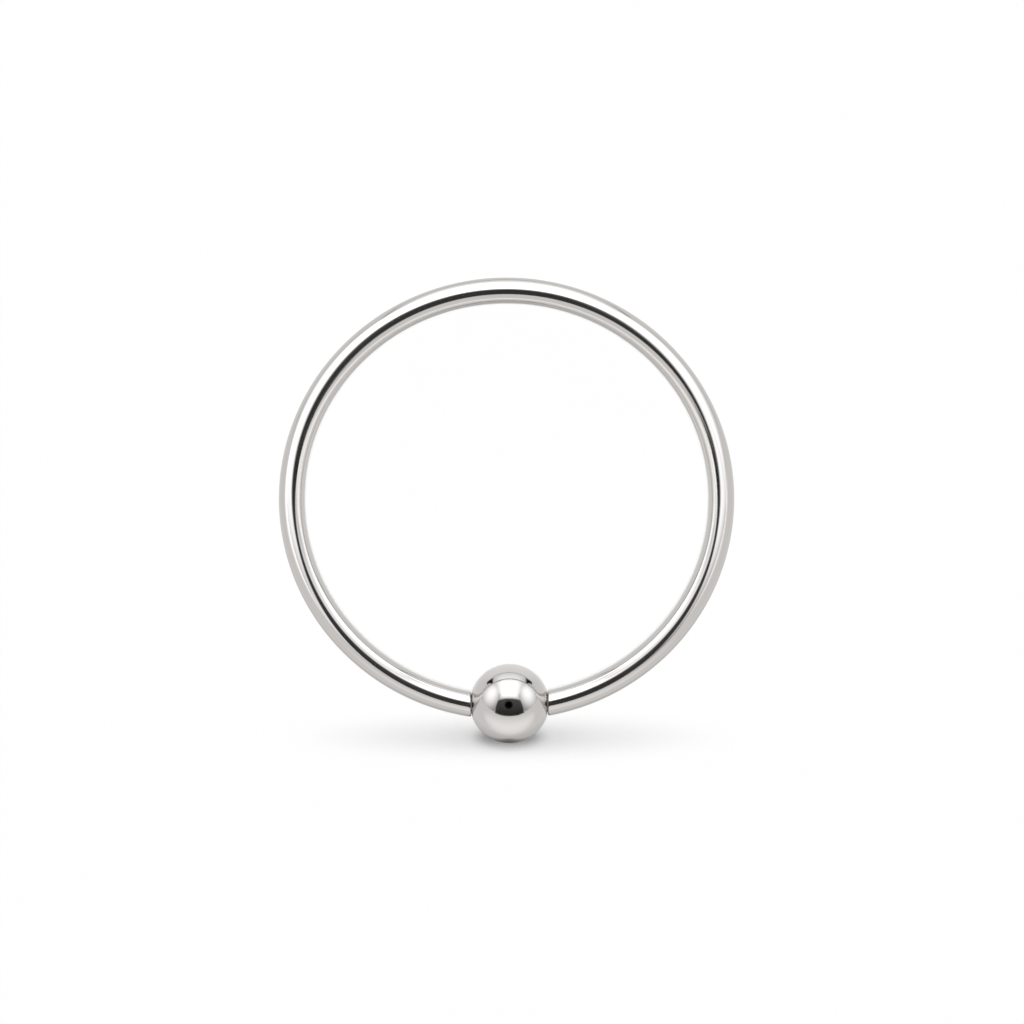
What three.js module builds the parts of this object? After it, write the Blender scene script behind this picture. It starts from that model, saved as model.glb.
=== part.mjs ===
// A captive bead ring for a nose piercing. A round wire hoop is cut open at one place, and its two
// ends spring against the dimples of a bead that closes the gap. The ring lies on its side on a flat
// surface, so the bead and the wire furthest from it both touch z = 0 and the hoop leans a little.
// Millimetres, +Z up. The origin is the middle of the ring's footprint.
import * as THREE from "three";

// Driving dimensions
const wireDiameter = 0.8128; // 20 gauge
const hoopInnerDiameter = 12.7; // half an inch
const beadDiameter = 2.5;
const dimpleRimDiameter = 0.77; // where a dimple opens in the side of the bead
const dimpleDepth = 0.14;
const faceGap = 0.016; // from a dimple's rim to the wire's end face, which its rounding widens at the rim
const endRounding = 0.07; // radius of the edge of a wire end
const endCrown = 0.05; // height of the dome on a wire end, whose tip stands in its dimple
const bendLength = 2.0; // length of wire near an end that turns to face the bead squarely

// Highly polished 316L surgical steel
const steelColour = 0xcccac7;
const steelRoughness = 0.08;

// Fineness of the faceted surfaces
const wireSides = 24;
const beadSides = 48;
const stationTurn = THREE.MathUtils.degToRad(3.75); // between two sections of the bent wire
const stationsEachWay = 44; // each side of the section furthest from the bead
const edgeSteps = 2; // a path gives an arc two points for each of these steps
const domeSteps = 2;
const beadSteps = 16;

// Sizes that follow
const quarterTurn = Math.PI / 2;
const wireRadius = wireDiameter / 2;
const hoopRadius = hoopInnerDiameter / 2 + wireRadius; // to the middle of the wire
const beadRadius = beadDiameter / 2;
const rimRadius = dimpleRimDiameter / 2;
const rimPlane = Math.sqrt(beadRadius ** 2 - rimRadius ** 2); // from the bead's middle, along X
const endPlane = rimPlane + faceGap;
const endTurn = Math.PI - Math.asin(endPlane / hoopRadius); // from the far side round to an end
const beadDistance = Math.sqrt(hoopRadius ** 2 - endPlane ** 2); // from the hoop's middle to the bead's
const lean = Math.asin((beadRadius - wireRadius) / (hoopRadius + beadDistance));
const hoopHeight = wireRadius + hoopRadius * Math.sin(lean);
const beadReach = beadDistance * Math.cos(lean) + beadRadius;
const farReach = hoopRadius * Math.cos(lean) + wireRadius;
const hoopMiddleY = (beadReach - farReach) / 2;

// The radius of the sphere whose cap has this rim and this height
function capRadius(rim, height) {
  return (rim ** 2 + height ** 2) / (2 * height);
}

// An outline whose two ends lie exactly on the axis that it turns about
function onAxis(outline) {
  outline[0].x = 0;
  outline[outline.length - 1].x = 0;
  return outline;
}

// The outline of the wire's end at y = wireEnd, from its last whole section to the tip of its dome
function endOutline(wireEnd) {
  const faceRadius = wireRadius - endRounding;
  const dome = capRadius(faceRadius, endCrown);
  const domeMiddle = wireEnd + endCrown - dome;
  const edge = new THREE.Path();
  edge.absarc(faceRadius, wireEnd - endRounding, endRounding, 0, quarterTurn, false);
  const cap = new THREE.Path();
  cap.absarc(0, domeMiddle, dome, Math.acos(faceRadius / dome), quarterTurn, false);
  return [...edge.getPoints(edgeSteps), ...cap.getPoints(domeSteps).slice(1)];
}

// An outline's lower half, mirrored from its upper half and in the same upward order
function mirrored(outline) {
  return outline.map((point) => new THREE.Vector2(point.x, -point.y)).reverse();
}

// The straight wire before it is bent, along Y, with its middle at y = 0
function wireBlank() {
  const stations = [];
  for (let station = -stationsEachWay; station <= stationsEachWay; station += 1) {
    stations.push(new THREE.Vector2(wireRadius, station * stationTurn * hoopRadius));
  }
  const top = endOutline(hoopRadius * endTurn);
  return new THREE.LatheGeometry(onAxis([...mirrored(top), ...stations, ...top]), wireSides, -lean);
}

// Where a point of the straight wire goes: round the hoop, with the last sections turned to face the bead
function bent(point) {
  const wireEnd = hoopRadius * endTurn;
  const along = Math.min(Math.abs(point.y), wireEnd);
  const past = Math.abs(point.y) - along;
  const turn = along / hoopRadius;
  const squaring = (Math.PI - endTurn) * THREE.MathUtils.smoothstep(along, wireEnd - bendLength, wireEnd);
  const outward = point.x / Math.cos(squaring);
  const x = hoopRadius * Math.sin(turn) + outward * Math.sin(turn + squaring) - past;
  const y = hoopRadius * Math.cos(turn) + outward * Math.cos(turn + squaring);
  return new THREE.Vector3(-Math.sign(point.y) * x, y, point.z);
}

function hoopGeometry() {
  const geometry = wireBlank();
  const places = geometry.attributes.position;
  const point = new THREE.Vector3();
  for (let index = 0; index < places.count; index += 1) {
    point.fromBufferAttribute(places, index);
    places.setXYZ(index, ...bent(point));
  }
  geometry.computeVertexNormals();
  return geometry;
}

// A sphere with a shallow round dimple at each end of its X axis
function beadGeometry() {
  const hollow = capRadius(rimRadius, dimpleDepth);
  const hollowMiddle = rimPlane - dimpleDepth + hollow;
  const rimAngle = Math.asin(rimRadius / beadRadius);
  const ball = new THREE.Path();
  ball.absarc(0, 0, beadRadius, rimAngle - quarterTurn, quarterTurn - rimAngle, false);
  const dimple = new THREE.Path();
  dimple.absarc(0, hollowMiddle, hollow, Math.asin(rimRadius / hollow) - quarterTurn, -quarterTurn, true);
  const top = dimple.getPoints(domeSteps).slice(1);
  const outline = onAxis([...mirrored(top), ...ball.getPoints(beadSteps), ...top]);
  const geometry = new THREE.LatheGeometry(outline, beadSides);
  geometry.rotateZ(-quarterTurn);
  return geometry;
}

function polishedSteel() {
  return new THREE.MeshStandardMaterial({ color: steelColour, roughness: steelRoughness, metalness: 1 });
}

function buildHoop() {
  const hoop = new THREE.Mesh(hoopGeometry(), polishedSteel());
  hoop.name = "hoop";
  hoop.rotation.x = -lean;
  hoop.position.set(0, hoopMiddleY, hoopHeight);
  return hoop;
}

function buildBead() {
  const bead = new THREE.Mesh(beadGeometry(), polishedSteel());
  bead.name = "bead";
  bead.position.set(0, hoopMiddleY - beadDistance * Math.cos(lean), beadRadius);
  return bead;
}

const ring = new THREE.Group();
ring.add(buildHoop());
ring.add(buildBead());

export default ring;
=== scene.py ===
"""The looks of a captive bead nose ring: a polished surgical steel hoop and the small ball that closes it.

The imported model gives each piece's place and outer size, and the driving sizes below give the rest. Each
piece is modelled flat and in millimetres about the origin, then leaned, shrunk to metres and set in its
place, which is kept in its mesh. The studio is set out round the hoop's middle.
"""

import math

import bpy
from mathutils import Matrix, Vector


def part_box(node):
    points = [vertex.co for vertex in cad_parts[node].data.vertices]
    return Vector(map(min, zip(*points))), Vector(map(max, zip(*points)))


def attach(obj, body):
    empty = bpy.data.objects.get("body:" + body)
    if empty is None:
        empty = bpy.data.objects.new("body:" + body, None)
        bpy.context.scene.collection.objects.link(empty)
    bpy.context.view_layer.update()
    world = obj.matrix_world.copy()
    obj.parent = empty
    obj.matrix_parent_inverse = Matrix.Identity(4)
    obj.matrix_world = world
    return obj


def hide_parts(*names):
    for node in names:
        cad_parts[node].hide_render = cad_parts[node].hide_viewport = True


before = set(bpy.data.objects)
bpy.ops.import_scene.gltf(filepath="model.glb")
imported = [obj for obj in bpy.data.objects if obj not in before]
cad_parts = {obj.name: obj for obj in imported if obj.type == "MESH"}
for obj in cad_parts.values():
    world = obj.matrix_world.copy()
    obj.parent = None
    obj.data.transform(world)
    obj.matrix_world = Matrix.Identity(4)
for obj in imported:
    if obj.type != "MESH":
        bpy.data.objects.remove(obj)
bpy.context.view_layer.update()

MM = 0.001  # metres in a millimetre

# Driving sizes of the ring, in millimetres
WIRE_RADIUS = 0.4064  # 20 gauge wire
FACE_GAP = 0.016  # from the rim of a dimple to the face of the wire end before it
END_ROUNDING = 0.07  # radius of the edge of a wire end
END_CROWN = 0.05  # height of the dome on a wire end
BEND_LENGTH = 2.0  # length of wire near an end that turns to face the bead squarely
DIMPLE_DEPTH = 0.14
RIM_ROUNDING = 0.02  # width of the softened rim of a dimple

# Fineness of the surfaces
WIRE_SIDES = 72
SPIN_STEPS = 110  # sections of half the hoop, up to where it starts to face the bead
BEND_STEPS = 16
EDGE_STEPS = 6
DOME_STEPS = 6
BEAD_SEGMENTS = 96
BEAD_RINGS = 64
RIM_SEGMENTS = 3
SMOOTH_ANGLE = math.radians(50)  # between faces, below which the edge between them is smoothed
MERGE_DISTANCE = 1e-5  # in millimetres, below which two points are one
RIM_TOLERANCE = 1e-3  # in millimetres, for telling a rim's points from the rest

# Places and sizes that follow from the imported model, in millimetres
_, hoop_high = (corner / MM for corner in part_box("hoop"))
bead_low, bead_high = (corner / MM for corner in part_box("bead"))
bead_middle = (bead_low + bead_high) / 2
bead_radius = (bead_high.z - bead_low.z) / 2
rim_plane = bead_high.x
rim_radius = math.sqrt(bead_radius**2 - rim_plane**2)
hoop_radius = hoop_high.x - WIRE_RADIUS  # to the middle of the wire
end_plane = rim_plane + FACE_GAP
end_turn = math.pi - math.asin(end_plane / hoop_radius)  # from the far side round to a wire end
bead_distance = math.sqrt(hoop_radius**2 - end_plane**2)
lean = math.asin((bead_radius - WIRE_RADIUS) / (hoop_radius + bead_distance))
hoop_middle = Vector((
    0,
    hoop_high.y - WIRE_RADIUS - hoop_radius * math.cos(lean),
    WIRE_RADIUS + hoop_radius * math.sin(lean),
))

# The camera looks down on the ring, tipped from the hoop's own axis towards its far side
CAMERA_DISTANCE = 240
VIEW_WIDTH = 32.2  # of the picture, at the hoop's middle
CAMERA_TIP = math.radians(14.3)
CAMERA_ROLL = math.radians(0.8)
AIM_RIGHT = 0.17  # from the hoop's middle to the middle of the picture
AIM_DOWN = 0.374
SIGHT = 5  # metres that the camera sees

# Surgical steel, with sizes in millimetres
STEEL_LIGHT = 0xC9C6C3
STEEL_DARK = 0xC4C1BE
GLOSSIEST = 0.07  # roughness
DULLEST = 0.12
MARK_SHARE = 0.5  # of the change in gloss that is from the marks, and the rest is from smudges
MARK_DEPTH = 0.0003
LINE_SPACING = 0.06
LINE_STRETCH = 40  # how many times longer than wide a drawn line is
LINE_DETAIL = 3  # octaves of finer marks within it, as are the details below
TUMBLE_MARK = 0.05
TUMBLE_DETAIL = 4
SMUDGE_SIZE = 0.8
SMUDGE_DETAIL = 2

# Whites and brightnesses of the studio
WALL_WHITE = 0xFFFFFF
LAMP_WHITE = 0xFAFCFF  # of the softboxes and of every glow, a little cooler than the walls
FLOOR_WHITE = 0xE7E7E7
WALLS_ON_FLOOR = 0.33  # how brightly the walls light the floor
WALLS_IN_STEEL = 0.96
WALLS_SEEN = 1.02  # beyond the floor's edge
SOFTBOX_BRIGHTEST = 1.95
FAR_SOFTBOX_DIMMEST = 0.95
SIDE_SOFTBOX_DIMMEST = 0.5
FLAG_TOP = 0.09
FLAG_FOOT = 0.03
HEM_GLOW = 0.9
RING_GLOW = 0.9
POOL_GLOW = 0.4
ARC_GLOW = 0.9
APRON_GLOW = 0.2
ONE_BOUNCE = 1.5  # ray depths below this are of light that has bounced once at most

# The floor and its lamps
FLOOR_SIZE = 3  # in metres
KEY_WIDTH = math.radians(5.5)  # how wide a floor lamp looks from the floor
WEAK_KEY = 1.06  # energy
STRONG_KEY = 1.97
# The gobo casts a painted shadow under the bead's foot, in the strips set below
BEAD_FOOT = (0.06, -7.54)  # on the gobo, near the bead's lower edge as the camera sees it
GOBO_STRIPS = (  # half-width, half-height, depth of shade
    (7.6, 0.9, 0.33),
    (3.0, 0.7, 0.16),
    (1.42, 0.5, 1.3),
)
CARD_GRID = 12  # squares each way over a studio card


def select_only(piece):
    bpy.ops.object.select_all(action="DESELECT")
    piece.select_set(True)
    bpy.context.view_layer.objects.active = piece


# ---------------------------------------------------------------- camera


def camera_axes():
    """The picture's right, up and towards-the-camera directions, in the frame's own axes."""
    from_vertical = lean + CAMERA_TIP
    across = Vector((1, 0, 0))
    upward = Vector((0, math.cos(from_vertical), -math.sin(from_vertical)))
    backward = Vector((0, math.sin(from_vertical), math.cos(from_vertical)))
    turn = Matrix.Rotation(-CAMERA_ROLL, 3, backward)
    return turn @ across, turn @ upward, backward


view_right, view_up, view_back = camera_axes()
view_turn = Matrix((view_right, view_up, view_back)).transposed()


def set_camera():
    bpy.ops.object.camera_add()
    camera = bpy.context.object
    camera.name = "camera"
    aim = hoop_middle + view_right * AIM_RIGHT - view_up * AIM_DOWN
    place = Matrix.Translation((aim + view_back * CAMERA_DISTANCE) * MM)
    camera.matrix_world = place @ view_turn.to_4x4()
    camera.data.lens = camera.data.sensor_width * CAMERA_DISTANCE / VIEW_WIDTH
    camera.data.clip_end = SIGHT
    bpy.context.scene.camera = camera


# ---------------------------------------------------------------- materials


def linear(colour):
    """A linear colour from an sRGB hex value."""
    parts = [(colour >> shift & 255) / 255 for shift in (16, 8, 0)]
    return (*[c / 12.92 if c <= 0.04045 else ((c + 0.055) / 1.055) ** 2.4 for c in parts], 1)


def add_node(tree, kind, *values, inputs=None, **settings):
    """Adds a shader node and gives its outputs. The values fill its inputs in order, and inputs fills them
    by name. Each is a value, or another node's output to link from."""
    node = tree.nodes.new(f"ShaderNode{kind}")
    for name, value in settings.items():
        setattr(node, name, value)
    for name, value in (*enumerate(values), *(inputs or {}).items()):
        if isinstance(value, bpy.types.NodeSocket):
            tree.links.new(value, node.inputs[name])
        else:
            node.inputs[name].default_value = value
    return node.outputs


def new_material(name):
    material = bpy.data.materials.new(name)
    material.use_nodes = True
    material.node_tree.nodes.clear()
    return material, material.node_tree


def between(tree, low, high, share):
    """A number that goes from low to high as a share goes from 0 to 1."""
    return add_node(tree, "Mix", inputs={"Factor": share, "A": low, "B": high})[0]


def polished_steel(tree, place, marks):
    """Mirror polished 316L surgical steel: a warm grey metal that shows the room almost sharply. The marks
    left in it roughen it a little and catch the light, and smudges dull it here and there."""
    blots = {"Vector": place, "Scale": 1 / SMUDGE_SIZE, "Detail": SMUDGE_DETAIL}
    smudges = add_node(tree, "TexNoise", inputs=blots)[0]
    tints = {"Factor": marks, "A": linear(STEEL_DARK), "B": linear(STEEL_LIGHT)}
    colour = add_node(tree, "Mix", inputs=tints, data_type="RGBA")["Result"]
    roughness = between(tree, GLOSSIEST, DULLEST, between(tree, smudges, marks, MARK_SHARE))
    relief = add_node(tree, "Bump", inputs={"Height": marks, "Distance": MARK_DEPTH * MM})[0]
    steel = {"Base Color": colour, "Metallic": 1, "Roughness": roughness, "Normal": relief}
    shader = add_node(tree, "BsdfPrincipled", inputs=steel)[0]
    add_node(tree, "OutputMaterial", shader)


def millimetres_from(tree, middle, turn):
    """The place on a piece in millimetres from a middle, along axes turned about X."""
    axes = {
        "Vector": add_node(tree, "TexCoord")["Object"],
        "Location": middle * MM,
        "Rotation": (turn, 0, 0),
        "Scale": (MM, MM, MM),
    }
    return add_node(tree, "Mapping", inputs=axes, vector_type="TEXTURE")[0]


def hoop_steel():
    """Drawn wire: faint lines run along it, left by the drawing die under the polish. They are a few
    thousandths of a millimetre apart on the wire and are drawn coarser, so that they show."""
    material, tree = new_material("drawn_surgical_steel")
    place = millimetres_from(tree, hoop_middle, -lean)
    x, y, z = add_node(tree, "SeparateXYZ", place)
    y_squared = add_node(tree, "Math", y, y, operation="MULTIPLY")[0]
    squared = add_node(tree, "Math", x, x, y_squared, operation="MULTIPLY_ADD")[0]
    from_axis = add_node(tree, "Math", squared, operation="SQRT")[0]
    across = add_node(tree, "Math", from_axis, hoop_radius, operation="SUBTRACT")[0]
    turn = add_node(tree, "Math", x, y, operation="ARCTAN2")[0]
    along = add_node(tree, "Math", turn, hoop_radius / LINE_STRETCH, operation="MULTIPLY")[0]
    section = add_node(tree, "CombineXYZ", across, z, along)[0]
    drawing = {"Vector": section, "Scale": 1 / LINE_SPACING, "Detail": LINE_DETAIL}
    lines = add_node(tree, "TexNoise", inputs=drawing)[0]
    polished_steel(tree, place, lines)
    return material


def bead_steel():
    """A ball tumbled in fine media and polished: tiny marks that run every way. They are a few thousandths
    of a millimetre wide on the ball and are drawn coarser, so that they show."""
    material, tree = new_material("tumbled_surgical_steel")
    place = millimetres_from(tree, bead_middle, 0)
    tumbling = {"Vector": place, "Scale": 1 / TUMBLE_MARK, "Detail": TUMBLE_DETAIL}
    marks = add_node(tree, "TexNoise", inputs=tumbling)[0]
    polished_steel(tree, place, marks)
    return material


# ---------------------------------------------------------------- modelling


def cap_radius(rim, height):
    """The radius of the sphere whose cap has this rim and this height."""
    return (rim**2 + height**2) / (2 * height)


def cap_outline(rim, height, steps):
    """(radius, reach) pairs of a cap, from its rim to its tip."""
    sphere = cap_radius(rim, height)
    span = math.asin(rim / sphere)
    outline = []
    for step in range(steps + 1):
        turn = span * (1 - step / steps)
        outline.append((sphere * math.sin(turn), sphere * math.cos(turn) - (sphere - height)))
    return outline


def draw_ring_in(outline, middle, direction):
    """Carries the selected ring of edges along (radius, reach) pairs, to a tip on its axis."""
    for (radius, reach), (next_radius, next_reach) in zip(outline, outline[1:]):
        shift = direction * (next_reach - reach)
        bpy.ops.mesh.extrude_region_move(TRANSFORM_OT_translate={"value": shift})
        if next_radius < MERGE_DISTANCE:
            bpy.ops.mesh.merge(type="CENTER")
            return
        bpy.ops.transform.resize(
            value=(next_radius / radius,) * 3,
            center_override=middle + direction * next_reach,
        )


def start_editing(piece):
    """Applies the new primitive's place and turn, and opens it for editing with all of it selected."""
    select_only(piece)
    bpy.ops.object.transform_apply(location=True, rotation=True, scale=True)
    bpy.ops.object.mode_set(mode="EDIT")
    bpy.ops.mesh.select_all(action="SELECT")


def finish_piece(piece, name, middle, turn, material):
    """Cleans the mesh, takes it from millimetres to its place in metres, and smooths it."""
    select_only(piece)
    bpy.ops.object.mode_set(mode="EDIT")
    bpy.ops.mesh.select_all(action="SELECT")
    bpy.ops.mesh.remove_doubles(threshold=MERGE_DISTANCE)
    bpy.ops.mesh.normals_make_consistent(inside=False)
    bpy.ops.object.mode_set(mode="OBJECT")
    piece.scale = (MM, MM, MM)
    piece.rotation_euler = (turn, 0, 0)
    piece.location = middle * MM
    bpy.ops.object.transform_apply(location=True, rotation=True, scale=True)
    bpy.ops.object.shade_smooth_by_angle(angle=SMOOTH_ANGLE)
    piece.name = piece.data.name = name
    piece.data.materials.clear()
    piece.data.materials.append(material)
    return piece


def wire_middle(turn):
    """A point on the wire's middle line, by its turn round the flat hoop from the far side."""
    return Vector((hoop_radius * math.sin(turn), hoop_radius * math.cos(turn), 0))


def face_the_bead():
    """Carries the wire's open section on round the hoop while it turns to face the bead squarely."""
    bend = (BEND_LENGTH - END_ROUNDING) / hoop_radius
    start = end_turn - BEND_LENGTH / hoop_radius
    heading = start
    for step in range(1, BEND_STEPS + 1):
        share = step / BEND_STEPS
        turn = start + bend * share
        squaring = (math.pi - end_turn) * share * share * (3 - 2 * share)
        middle = wire_middle(turn)
        shift = middle - wire_middle(start + bend * (step - 1) / BEND_STEPS)
        bpy.ops.mesh.extrude_region_move(TRANSFORM_OT_translate={"value": shift})
        bpy.ops.transform.rotate(
            value=turn + squaring - heading, orient_axis="Z", center_override=middle
        )
        heading = turn + squaring
    return middle


def round_the_end(middle):
    """Rounds the edge of the wire end and domes its face."""
    face_radius = WIRE_RADIUS - END_ROUNDING
    run = Vector((end_plane, -bead_distance, 0)) - middle
    outline = []
    for step in range(EDGE_STEPS):
        turn = math.pi / 2 * step / EDGE_STEPS
        outline.append((face_radius + END_ROUNDING * math.cos(turn), math.sin(turn) * run.length))
    dome = cap_outline(face_radius, END_CROWN, DOME_STEPS)
    outline += [(radius, run.length + reach) for radius, reach in dome]
    draw_ring_in(outline, middle, run.normalized())


def model_hoop():
    """Half of the wire, spun from the far side round to its finished end, and mirrored."""
    bpy.ops.object.select_all(action="DESELECT")
    bpy.ops.mesh.primitive_circle_add(
        vertices=WIRE_SIDES,
        radius=WIRE_RADIUS,
        location=wire_middle(0),
        rotation=(0, math.pi / 2, 0),
    )
    hoop = bpy.context.object
    start_editing(hoop)
    bpy.ops.mesh.spin(
        steps=SPIN_STEPS,
        angle=end_turn - BEND_LENGTH / hoop_radius,
        center=(0, 0, 0),
        axis=(0, 0, 1),
    )
    round_the_end(face_the_bead())
    bpy.ops.object.mode_set(mode="OBJECT")
    mirror = hoop.modifiers.new("other_half", "MIRROR")
    mirror.merge_threshold = MERGE_DISTANCE
    bpy.ops.object.modifier_apply(modifier=mirror.name)
    return finish_piece(hoop, "polished_hoop", hoop_middle, -lean, hoop_steel())


def sink_dimple(side):
    """Cuts the bead flat at one side and sinks the round dimple that a wire end sits in."""
    bpy.ops.mesh.select_all(action="SELECT")
    bpy.ops.mesh.bisect(
        plane_co=(side * rim_plane, 0, 0),
        plane_no=(side, 0, 0),
        clear_outer=True,
        threshold=MERGE_DISTANCE,
    )
    draw_ring_in(
        cap_outline(rim_radius, DIMPLE_DEPTH, DOME_STEPS),
        Vector((side * rim_plane, 0, 0)),
        Vector((-side, 0, 0)),
    )


def on_a_rim(point):
    """Whether a point lies where a dimple opens in the side of the bead."""
    along = abs(point.x) - rim_plane
    out = point.yz.length - rim_radius
    return max(abs(along), abs(out)) < RIM_TOLERANCE


def soften_rims(bead):
    """Bevels the edge where each dimple opens."""
    mesh = bead.data
    bpy.ops.object.mode_set(mode="OBJECT")
    for part in (*mesh.vertices, *mesh.edges, *mesh.polygons):
        part.select = False
    for edge in mesh.edges:
        edge.select = all(on_a_rim(mesh.vertices[index].co) for index in edge.vertices)
    bpy.ops.object.mode_set(mode="EDIT")
    bpy.ops.mesh.select_mode(type="EDGE")
    bpy.ops.mesh.bevel(offset=RIM_ROUNDING, segments=RIM_SEGMENTS, affect="EDGES")
    bpy.ops.object.mode_set(mode="OBJECT")


def model_bead():
    """A ball with its poles on the X axis, where the two dimples are sunk."""
    bpy.ops.object.select_all(action="DESELECT")
    bpy.ops.mesh.primitive_uv_sphere_add(
        segments=BEAD_SEGMENTS,
        ring_count=BEAD_RINGS,
        radius=bead_radius,
        rotation=(0, math.pi / 2, 0),
    )
    bead = bpy.context.object
    start_editing(bead)
    for side in (1, -1):
        sink_dimple(side)
    soften_rims(bead)
    return finish_piece(bead, "polished_bead", bead_middle, 0, bead_steel())


# ---------------------------------------------------------------- studio cards


def group_of(name, *objects):
    """A collection of some objects, which a light or its shadow is kept to."""
    group = bpy.data.collections.new(name)
    for member in objects:
        group.objects.link(member)
    return group


def rectangle(left, right, bottom, top):
    """The corners of a rectangular card."""
    return [(left, bottom), (right, bottom), (left, top), (right, top)]


def mirrored(corners):
    """The corners of the same card on the other side of the camera's axis."""
    low_left, low_right, top_left, top_right = corners
    return [(-x, y) for x, y in (low_right, low_left, top_right, top_left)]


def card(name, facing, distance, corners, cloth, lights_only=None):
    """A flat card seen only in the steel, at a distance from the hoop's middle and square to a direction
    from it, in degrees right and up of the camera's axis. Its corners are bottom left, bottom right,
    top left and top right, in millimetres across and up, which are its own coordinates too. A card may
    light one piece only. The other piece sees it black where it isn't clear."""
    azimuth, elevation = (math.radians(angle) for angle in facing)
    level = view_right * math.sin(azimuth) + view_back * math.cos(azimuth)
    outward = level * math.cos(elevation) + view_up * math.sin(elevation)
    across = view_right * math.cos(azimuth) - view_back * math.sin(azimuth)
    axes = Matrix((across, outward.cross(across), outward)).transposed()
    low_left, low_right, top_left, top_right = (Vector((*corner, 0)) for corner in corners)
    bpy.ops.object.select_all(action="DESELECT")
    bpy.ops.mesh.primitive_grid_add(x_subdivisions=CARD_GRID, y_subdivisions=CARD_GRID, size=1)
    panel = bpy.context.object
    panel.name = name
    for vertex in panel.data.vertices:
        u, v = vertex.co.x + 0.5, vertex.co.y + 0.5
        vertex.co = low_left.lerp(low_right, u).lerp(top_left.lerp(top_right, u), v)
    place = Matrix.Translation((hoop_middle + outward * distance) * MM)
    panel.matrix_world = place @ axes.to_4x4() @ Matrix.Scale(MM, 4)
    cloth.cycles.emission_sampling = "NONE"
    panel.data.materials.append(cloth)
    panel.visible_camera = False
    panel.visible_diffuse = False
    panel.visible_shadow = False
    if lights_only:
        panel.light_linking.receiver_collection = group_of(f"lit_by_{name}", lights_only)
    return panel


# ---------------------------------------------------------------- masks and cloths of the cards


def product(tree, *factors):
    """Some masks and numbers multiplied together."""
    whole, *rest = factors
    for factor in rest:
        whole = add_node(tree, "Math", whole, factor, operation="MULTIPLY")[0]
    return whole


def total(tree, *terms):
    """Some masks added together."""
    whole, *rest = terms
    for term in rest:
        whole = add_node(tree, "Math", whole, term, operation="ADD")[0]
    return whole


def rest_of(tree, share):
    """What a share leaves of 1."""
    return add_node(tree, "Math", 1, share, operation="SUBTRACT")[0]


def smooth_share(tree, value, reach):
    """0 where a value is 0 or less, rising smoothly to 1 at a reach."""
    rise = {"Value": value, "From Max": reach}
    return add_node(tree, "MapRange", inputs=rise, interpolation_type="SMOOTHSTEP")[0]


def edge_fade(tree, sides, bottom, top, bow=0):
    """1 over a card, fading smoothly to 0 at its edges, over shares of its width and height.
    Its top edge is lower by bow in the middle, or at the corners where bow is negative."""
    u, v, _ = add_node(tree, "SeparateXYZ", add_node(tree, "TexCoord")["UV"])
    from_side = add_node(tree, "Math", u, 0.5, operation="PINGPONG")[0]
    hump = product(tree, u, rest_of(tree, u), 4)  # 0 at the sides and 1 in the middle
    dip = add_node(tree, "Math", hump, bow, max(-bow, 0), operation="MULTIPLY_ADD")[0]
    from_top = add_node(tree, "Math", rest_of(tree, v), dip, operation="SUBTRACT")[0]
    return product(
        tree,
        smooth_share(tree, from_side, sides),
        smooth_share(tree, v, bottom),
        smooth_share(tree, from_top, top),
    )


def spot(tree, middle, radii, core=0):
    """1 round a place on a card, fading smoothly from a share of an ellipse to 0 at the ellipse."""
    ellipse = {
        "Vector": add_node(tree, "TexCoord")["Object"],
        "Location": (*middle, 0),
        "Scale": (*radii, 1),
    }
    centred = add_node(tree, "Mapping", inputs=ellipse, vector_type="TEXTURE")[0]
    distance = add_node(tree, "VectorMath", centred, operation="LENGTH")["Value"]
    return smooth_share(tree, rest_of(tree, distance), 1 - core)


def covering(tree, strength, mask, white=WALL_WHITE):
    """A glow of its own where the mask is 1, which hides what is behind it, and clear where it is 0."""
    clear = add_node(tree, "BsdfTransparent")[0]
    glow = add_node(tree, "Emission", linear(white), strength)[0]
    add_node(tree, "OutputMaterial", add_node(tree, "MixShader", mask, clear, glow)[0])


def adding(tree, strength):
    """A clear card whose glow adds to what is behind it."""
    clear = add_node(tree, "BsdfTransparent")[0]
    glow = add_node(tree, "Emission", linear(LAMP_WHITE), strength)[0]
    add_node(tree, "OutputMaterial", add_node(tree, "AddShader", clear, glow)[0])


def plain_cloth(name, strength, sides, bottom, top, bow=0):
    """One even brightness, with soft edges."""
    material, tree = new_material(name)
    covering(tree, strength, edge_fade(tree, sides, bottom, top, bow))
    return material


def spot_cloth(name, strength, middle, radii, core=0):
    """One soft ellipse that hides what is behind it."""
    material, tree = new_material(name)
    covering(tree, strength, spot(tree, middle, radii, core))
    return material


def glow_cloth(name, strength, middle, radii, core=0):
    """One soft ellipse of light that adds to what is behind it."""
    material, tree = new_material(name)
    adding(tree, product(tree, spot(tree, middle, radii, core), strength))
    return material


def far_softbox_cloth():
    """The far softbox: bright all over and dimmer towards its edges."""
    material, tree = new_material("far_softbox_cloth")
    fade = edge_fade(tree, sides=0.32, bottom=0.15, top=0.5, bow=0.05)
    strength = between(tree, FAR_SOFTBOX_DIMMEST, SOFTBOX_BRIGHTEST, fade)
    mask = edge_fade(tree, sides=0.012, bottom=0.02, top=0.025, bow=0.05)
    covering(tree, strength, mask, LAMP_WHITE)
    return material


def side_softbox_cloth(name, brightest):
    """A side softbox: bright round one place and grey at its edges."""
    material, tree = new_material(name)
    fade = spot(tree, brightest, radii=(88, 100))
    strength = between(tree, SIDE_SOFTBOX_DIMMEST, SOFTBOX_BRIGHTEST, fade)
    mask = edge_fade(tree, sides=0.015, bottom=0.015, top=0.015)
    covering(tree, strength, mask, LAMP_WHITE)
    return material


def flag_outline(tree):
    """The broad ellipse that rounds the corners of the flag and of its hem."""
    return spot(tree, middle=(0, 10), radii=(225, 90), core=0.97)


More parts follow.
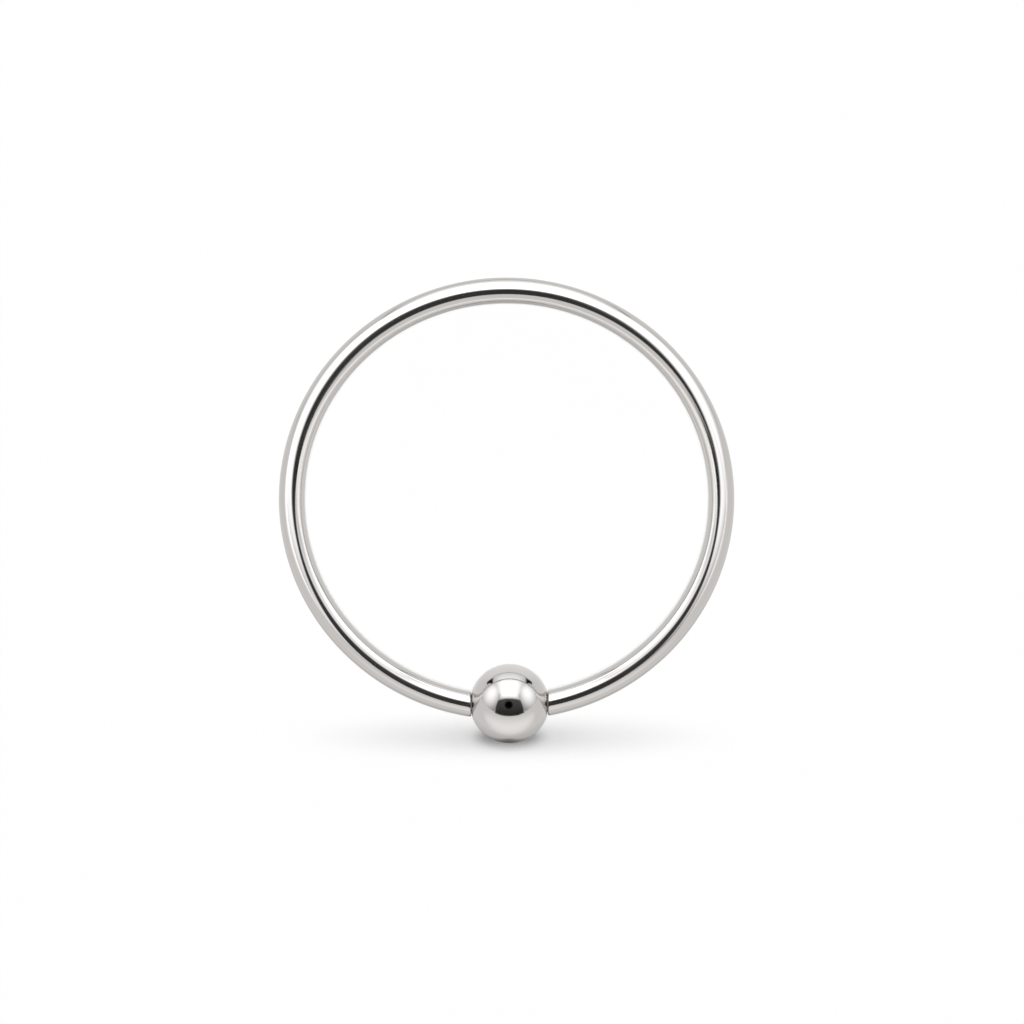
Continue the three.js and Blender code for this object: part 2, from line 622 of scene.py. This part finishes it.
def flag_cloth():
    """The black flag round the camera, a little lighter at its top."""
    material, tree = new_material("black_flag_cloth")
    height = edge_fade(tree, sides=0.01, bottom=0.9, top=0.01)
    strength = between(tree, FLAG_FOOT, FLAG_TOP, height)
    edges = edge_fade(tree, sides=0.02, bottom=0.03, top=0.05, bow=-0.06)
    covering(tree, strength, product(tree, edges, flag_outline(tree)))
    return material


def flag_hem_cloth():
    """Light in an arch over the middle of the flag's lower edge, which lifts that edge."""
    material, tree = new_material("flag_hem_cloth")
    edges = edge_fade(tree, sides=0.02, bottom=0.14, top=0.02)
    arch = spot(tree, middle=(-5, -79), radii=(26, 22), core=0.75)
    adding(tree, product(tree, edges, flag_outline(tree), arch, HEM_GLOW))
    return material


def front_shade_cloth():
    """Painted shade in the steel's view of the floor: dark just before the bead, and lighter further from
    it.
    """
    material, tree = new_material("front_shade_cloth")
    edges = edge_fade(tree, sides=0.01, bottom=0.01, top=0.1)
    shade = spot(tree, middle=(0, -8.4), radii=(2.2, 14), core=0.05)
    covering(tree, strength=0.15, mask=product(tree, edges, shade))
    return material


def hoop_glow_cloth():
    """Light close over the wire: a ring outside it, a pool with a brighter arc inside its near half, and a
    faint apron beyond the bead. It shows straight in the steel and not in a reflection of a reflection."""
    material, tree = new_material("hoop_glow_cloth")
    upper_gap = spot(tree, middle=(-0.3, 0.9), radii=(7.78, 6.81), core=0.85)
    lower_gap = spot(tree, middle=(-0.15, -4.2), radii=(5.95, 7.14), core=0.85)
    wide_reach = spot(tree, middle=(0, 6), radii=(30, 14.6), core=0.85)
    narrow_reach = spot(tree, middle=(0, 6), radii=(25, 12.5), core=0.68)
    round_reach = spot(tree, middle=(-1.5, 0), radii=(17, 17), core=0.5)
    beyond_gaps = product(tree, rest_of(tree, upper_gap), rest_of(tree, lower_gap))
    ring = product(tree, beyond_gaps, total(tree, wide_reach, narrow_reach), round_reach)
    pool = spot(tree, middle=(-0.2, -2.5), radii=(4.3, 3.1), core=0.6)
    arc_outer = spot(tree, middle=(-0.2, -2.4), radii=(4.5, 3.2), core=0.7)
    arc_inner = spot(tree, middle=(-0.3, -1.5), radii=(3.7, 3.0), core=0.6)
    arc = product(tree, arc_outer, rest_of(tree, arc_inner))
    apron = spot(tree, middle=(0, -16), radii=(16, 8), core=0.4)
    parts = ((ring, RING_GLOW), (pool, POOL_GLOW), (arc, ARC_GLOW), (apron, APRON_GLOW))
    glow = total(tree, *(product(tree, mask, strength) for mask, strength in parts))
    bounces = add_node(tree, "LightPath")["Ray Depth"]
    straight = add_node(tree, "Math", bounces, ONE_BOUNCE, operation="LESS_THAN")[0]
    adding(tree, product(tree, glow, straight))
    return material


def gobo_film():
    """Clear film that is smoked in three soft strips at the bead's lower edge, the smallest the darkest.
    What they cast on the floor is a painted shadow under the bead's foot, besides the shadows the pieces
    throw.
    """
    material, tree = new_material("gobo_film")
    strips = [
        product(tree, spot(tree, BEAD_FOOT, (half_width, half_height)), depth)
        for half_width, half_height, depth in GOBO_STRIPS
    ]
    shade = add_node(tree, "Math", total(tree, *strips), 1, operation="MINIMUM")[0]
    film = add_node(tree, "BsdfTransparent", rest_of(tree, shade))[0]
    add_node(tree, "OutputMaterial", film)
    return material


# ---------------------------------------------------------------- studio


def set_floor():
    bpy.ops.object.select_all(action="DESELECT")
    bpy.ops.mesh.primitive_plane_add(size=FLOOR_SIZE)
    floor = bpy.context.object
    floor.name = "floor"
    material, tree = new_material("matt_white_floor")
    shader = add_node(tree, "BsdfDiffuse", linear(FLOOR_WHITE))[0]
    add_node(tree, "OutputMaterial", shader)
    floor.data.materials.append(material)
    floor.visible_glossy = False
    return floor


def set_world():
    """Pale walls, which light the floor less than they show in the steel."""
    world = bpy.data.worlds.new("studio_walls")
    world.use_nodes = True
    tree = world.node_tree
    tree.nodes.clear()
    ray = add_node(tree, "LightPath")
    strength = between(tree, WALLS_ON_FLOOR, WALLS_IN_STEEL, ray["Is Glossy Ray"])
    strength = between(tree, strength, WALLS_SEEN, ray["Is Camera Ray"])
    walls = add_node(tree, "Background", linear(WALL_WHITE), strength)[0]
    add_node(tree, "OutputWorld", walls)
    bpy.context.scene.world = world
    bpy.context.scene.view_settings.view_transform = "Standard"


def set_softboxes(hoop):
    """A far softbox with a dark frame, and on each side a softbox and, beside the far one, a corner that is
    black in the bead and nearly as pale as the walls in the hoop."""
    card(
        "far_softbox",
        facing=(0, 60),
        distance=100,
        corners=[(-93, -104), (90, -107), (-87, 115), (87, 115)],
        cloth=far_softbox_cloth(),
    )
    card(
        "far_frame",
        facing=(0, 60),
        distance=101,
        corners=[(-98, -107), (95, -110), (-92, 123), (92, 123)],
        cloth=plain_cloth("softbox_frame", strength=0.1, sides=0.01, bottom=0.01, top=0.02, bow=0.05),
    )
    softbox = [(-57, -2), (62, -97), (-46.5, 62), (99, 90)]
    corner = [(-175, 97), (-92, 34), (-175, 135), (-92, 117)]
    grey = plain_cloth("dark_corner", strength=0.93, sides=0.1, bottom=0.1, top=0.2)
    for side, sign in (("left", -1), ("right", 1)):
        card(
            f"{side}_softbox",
            facing=(sign * 70, 15),
            distance=104,
            corners=softbox if side == "left" else mirrored(softbox),
            cloth=side_softbox_cloth(f"{side}_softbox_cloth", brightest=(-sign * 17, 20)),
        )
        card(
            f"{side}_dark_corner",
            facing=(0, 60),
            distance=103,
            corners=corner if side == "left" else mirrored(corner),
            cloth=grey,
            lights_only=hoop,
        )


def set_walls(bead):
    """Soft changes of the pale walls, by the camera's directions: lighter below the ring and high behind it,
    which only the bead shows, and darker low behind it."""
    card(
        "low_wall",
        facing=(0, -66),
        distance=100,
        corners=rectangle(-330, 330, -104, 68),
        cloth=glow_cloth("low_wall_cloth", strength=0.37, middle=(0, -18), radii=(330, 86)),
        lights_only=bead,
    )
    card(
        "high_wall",
        facing=(180, 58),
        distance=100,
        corners=rectangle(-110, 110, -95, 95),
        cloth=glow_cloth("high_wall_cloth", strength=0.15, middle=(0, 0), radii=(110, 95), core=0.3),
        lights_only=bead,
    )
    card(
        "under_wall",
        facing=(180, -35),
        distance=100,
        corners=rectangle(-130, 130, -130, 130),
        cloth=spot_cloth("under_wall_cloth", strength=0.65, middle=(0, 0), radii=(120, 130)),
    )


def set_front_shade():
    """A dark card flat under the floor, which the steel sees through the floor, just before the bead. It is
    painted shade: the bead's shadow on the floor, as the steel would show it.
    """
    card(
        "front_shade",
        facing=(180, math.degrees(lean + CAMERA_TIP)),
        distance=1.13,
        corners=rectangle(-2.3, 2.3, -22.5, -6.2),
        cloth=front_shade_cloth(),
    )


def set_flag(hoop):
    """The black flag round the camera, the light on its hem that only the hoop shows, and the dark lens."""
    card(
        "camera_flag",
        facing=(0, 0),
        distance=98,
        corners=[(-113, -79), (113, -78), (-63, 24.5), (60, 24.5)],
        cloth=flag_cloth(),
    )
    card(
        "flag_hem",
        facing=(0, 0),
        distance=97.5,
        corners=[(-113, -79), (113, -78), (-113, -57), (113, -57)],
        cloth=flag_hem_cloth(),
        lights_only=hoop,
    )
    card(
        "lens",
        facing=(0, 0),
        distance=95,
        corners=rectangle(-28, 20.5, -35, 14),
        cloth=spot_cloth("dark_lens_glass", strength=0.05, middle=(-3.6, -10), radii=(24, 24), core=0.6),
        lights_only=hoop,
    )


def set_hoop_glow(hoop):
    """Light that only the hoop shows, as the flag alone would look too wide in its wire."""
    card(
        "hoop_glow",
        facing=(0, 0),
        distance=4,
        corners=rectangle(-20, 20, -24, 20),
        cloth=hoop_glow_cloth(),
        lights_only=hoop,
    )


def set_gobo():
    """The film between the floor's lamps and the floor, which nothing sees but those lamps."""
    gobo = card(
        "gobo",
        facing=(0, 0),
        distance=0.6,
        corners=rectangle(-7.6, 7.6, -8.8, -6.1),
        cloth=gobo_film(),
    )
    gobo.visible_glossy = False
    gobo.visible_shadow = True
    return gobo


def set_floor_keys(floor, gobo, hoop, bead):
    """Two broad lamps that shine along the camera's axis on the floor alone, through the gobo. The ring
    throws a shadow in the weaker one only, so its shadow is light."""
    for name, energy, blockers in (
        ("weak_key", WEAK_KEY, (gobo, hoop, bead)),
        ("strong_key", STRONG_KEY, (gobo,)),
    ):
        bpy.ops.object.light_add(type="SUN", rotation=view_turn.to_euler())
        key = bpy.context.object
        key.name = name
        key.data.energy = energy
        key.data.angle = KEY_WIDTH
        key.light_linking.receiver_collection = group_of(f"lit_by_{name}", floor)
        key.light_linking.blocker_collection = group_of(f"shades_{name}", *blockers)


set_camera()
hoop = model_hoop()
bead = model_bead()
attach(hoop, "hoop_body")
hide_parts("hoop")
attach(bead, "bead_body")
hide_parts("bead")
floor = set_floor()
set_world()
set_softboxes(hoop)
set_walls(bead)
set_front_shade()
set_flag(hoop)
set_hoop_glow(hoop)
set_floor_keys(floor, set_gobo(), hoop, bead)
